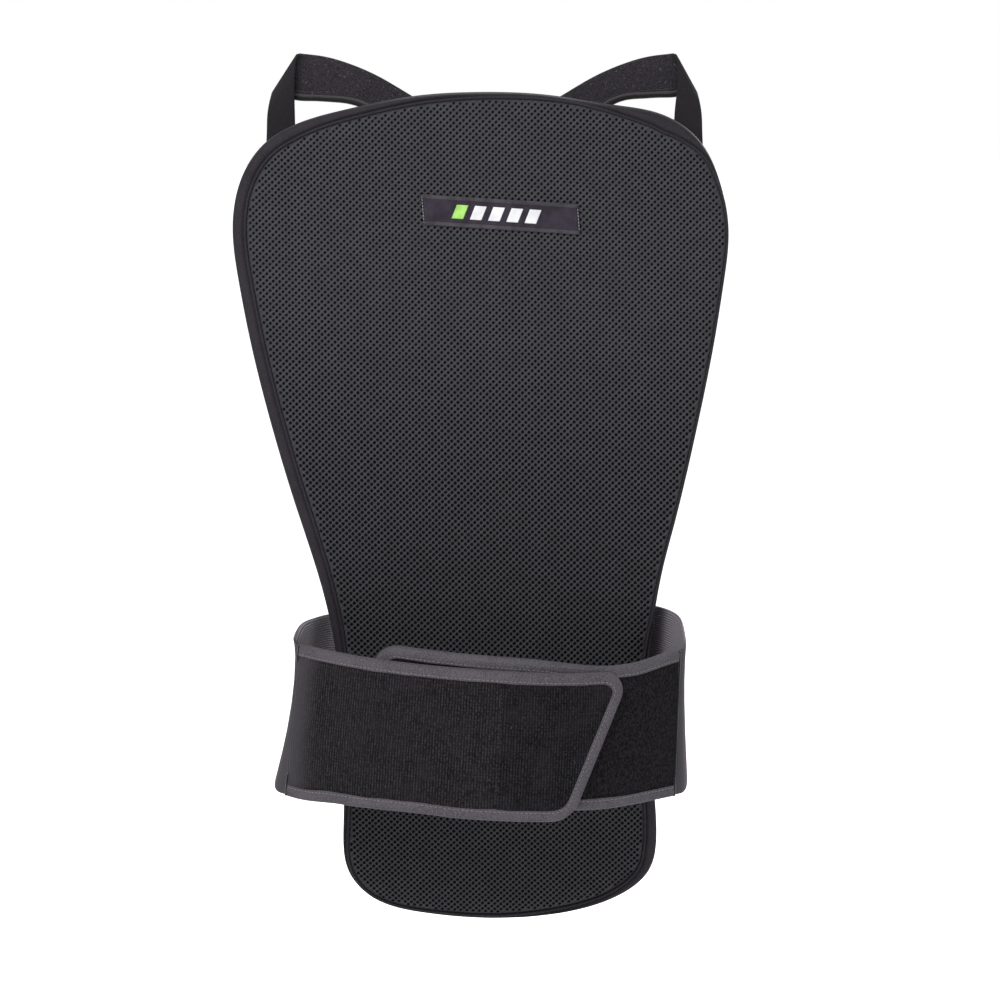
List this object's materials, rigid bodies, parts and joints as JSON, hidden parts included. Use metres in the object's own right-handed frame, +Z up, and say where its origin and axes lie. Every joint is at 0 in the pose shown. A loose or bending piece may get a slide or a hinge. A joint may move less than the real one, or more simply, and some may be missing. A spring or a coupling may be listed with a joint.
{
  "type": "motorcycle back protector",
  "caption": "Padded spine panel with a spacer-mesh face, folded shoulder straps and a two-wing hook-and-loop waist belt.",
  "frame": {"origin": "on the mesh face, on the midline at the panel's mid-height, where it meets the wearer's spine", "axes": "+Z up the spine, -Y towards the wearer's back, -X to the wearer's right; the belt closes round the wearer on the -Y side"},
  "size_m": [0.299, 0.1555, 0.5441],
  "materials": {
    "spacer_mesh": "matte",
    "soft_foam": "matte",
    "impact_foam": "matte",
    "cover_fabric": "matte",
    "label_satin": "matte",
    "label_green": "matte",
    "label_white": "matte",
    "strap_pad_fabric": "matte",
    "strap_band": "matte",
    "hook_tape": "matte",
    "loop_tape": "matte",
    "ribbed_elastic": "matte",
    "belt_loop_fabric": "matte",
    "belt_lining": "matte",
    "grey_binding": "matte"
  },
  "bodies": {
    "panel": {"mesh_liner": "spacer_mesh", "liner_foam": "soft_foam", "impact_core_perforated": "impact_foam", "impact_core_solid": "impact_foam", "rear_cover": "cover_fabric", "edge_piping": "cover_fabric", "spine_pad": "cover_fabric", "label_patch": "label_satin", "label_first_bar": "label_green", "label_bars": "label_white", "right_strap_pad_sewn_end": "strap_pad_fabric", "right_strap_anchor_patch": "cover_fabric", "right_strap_loop_patch": "loop_tape", "right_side_elastic": "ribbed_elastic", "right_belt_anchor_patch": "cover_fabric", "left_strap_pad_sewn_end": "strap_pad_fabric", "left_strap_anchor_patch": "cover_fabric", "left_strap_loop_patch": "loop_tape", "left_side_elastic": "ribbed_elastic", "left_belt_anchor_patch": "cover_fabric"},
    "outer_wing": {"outer_wing_shell": "belt_loop_fabric", "outer_wing_foam": "soft_foam", "outer_wing_lining": "belt_lining", "outer_wing_binding": "grey_binding"},
    "outer_tip": {"outer_tip_shell": "belt_loop_fabric", "outer_tip_foam": "soft_foam", "outer_tip_lining": "belt_lining", "outer_tip_binding": "grey_binding", "outer_tip_hook_patch": "hook_tape"},
    "inner_wing": {"inner_wing_shell": "belt_loop_fabric", "inner_wing_foam": "soft_foam", "inner_wing_lining": "belt_lining", "inner_wing_binding": "grey_binding"},
    "right_strap_top": {"right_strap_pad": "strap_pad_fabric", "right_strap_edge_trim": "strap_band", "right_strap_fold": "strap_band"},
    "right_strap_tail": {"right_strap_elastic": "strap_band", "right_strap_hook_tab": "hook_tape"},
    "left_strap_top": {"left_strap_pad": "strap_pad_fabric", "left_strap_edge_trim": "strap_band", "left_strap_fold": "strap_band"},
    "left_strap_tail": {"left_strap_elastic": "strap_band", "left_strap_hook_tab": "hook_tape"}
  },
  "joints": [
    {"name": "outer_wing_open", "type": "hinge", "parent": "panel", "child": "outer_wing", "pos_m": [-0.11674, -0.04505, -0.11338], "axis": [-0.094, -0.0444, -0.9946], "range_deg": [0, 150]},
    {"name": "outer_tip_peel", "type": "hinge", "parent": "outer_wing", "child": "outer_tip", "pos_m": [0.00802, -0.09126, -0.11992], "axis": [-0.0494, -0.061, -0.9969], "range_deg": [0, 120]},
    {"name": "inner_wing_open", "type": "hinge", "parent": "panel", "child": "inner_wing", "pos_m": [0.11608, -0.03743, -0.12843], "axis": [0.0335, 0.0432, 0.9985], "range_deg": [0, 36]},
    {"name": "right_strap_tail_release", "type": "hinge", "parent": "right_strap_top", "child": "right_strap_tail", "pos_m": [-0.1248, 0.0439, 0.236], "axis": [1, 0, 0], "range_deg": [0, 100]},
    {"name": "right_strap_top_swing", "type": "hinge", "parent": "panel", "child": "right_strap_top", "pos_m": [-0.07, 0.041, 0.234], "axis": [-1, 0, 0], "range_deg": [0, 45]},
    {"name": "left_strap_tail_release", "type": "hinge", "parent": "left_strap_top", "child": "left_strap_tail", "pos_m": [0.1248, 0.0439, 0.236], "axis": [1, 0, 0], "range_deg": [0, 100]},
    {"name": "left_strap_top_swing", "type": "hinge", "parent": "panel", "child": "left_strap_top", "pos_m": [0.07, 0.041, 0.234], "axis": [-1, 0, 0], "range_deg": [0, 45]}
  ],
  "couplings": [
    {"joint": "inner_wing_open", "follows": "outer_wing_open", "ratio": 0.24},
    {"joint": "right_strap_top_swing", "follows": "right_strap_tail_release", "ratio": 0.4},
    {"joint": "left_strap_top_swing", "follows": "left_strap_tail_release", "ratio": 0.4}
  ]
}
